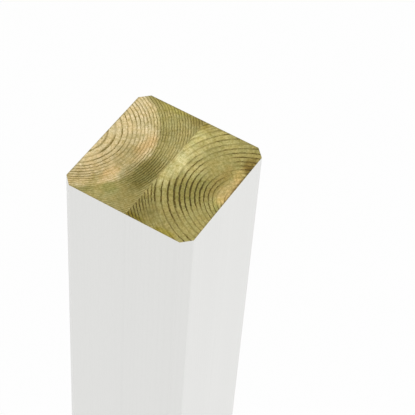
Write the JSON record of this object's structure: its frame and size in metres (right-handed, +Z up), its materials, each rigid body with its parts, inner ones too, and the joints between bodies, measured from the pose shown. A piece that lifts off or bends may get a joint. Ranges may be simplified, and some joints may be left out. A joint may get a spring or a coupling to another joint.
{
  "type": "newel post",
  "caption": "Square newel post for a stair or deck rail, laminated from pine boards, with chamfered edges, white-painted faces and bare sawn ends.",
  "frame": {"origin": "centre of the bottom end, on the surface that the post stands on", "axes": "+Z up along the post; the glue line is a plane of constant Y, 1 mm in front of the centre, with the front board on its -Y side"},
  "size_m": [0.09, 0.09, 1.28],
  "materials": {
    "painted_pine": "satin",
    "bare_end_grain": "matte"
  },
  "bodies": {
    "root": {"front_board": "painted_pine", "rear_board": "painted_pine"}
  },
  "joints": []
}
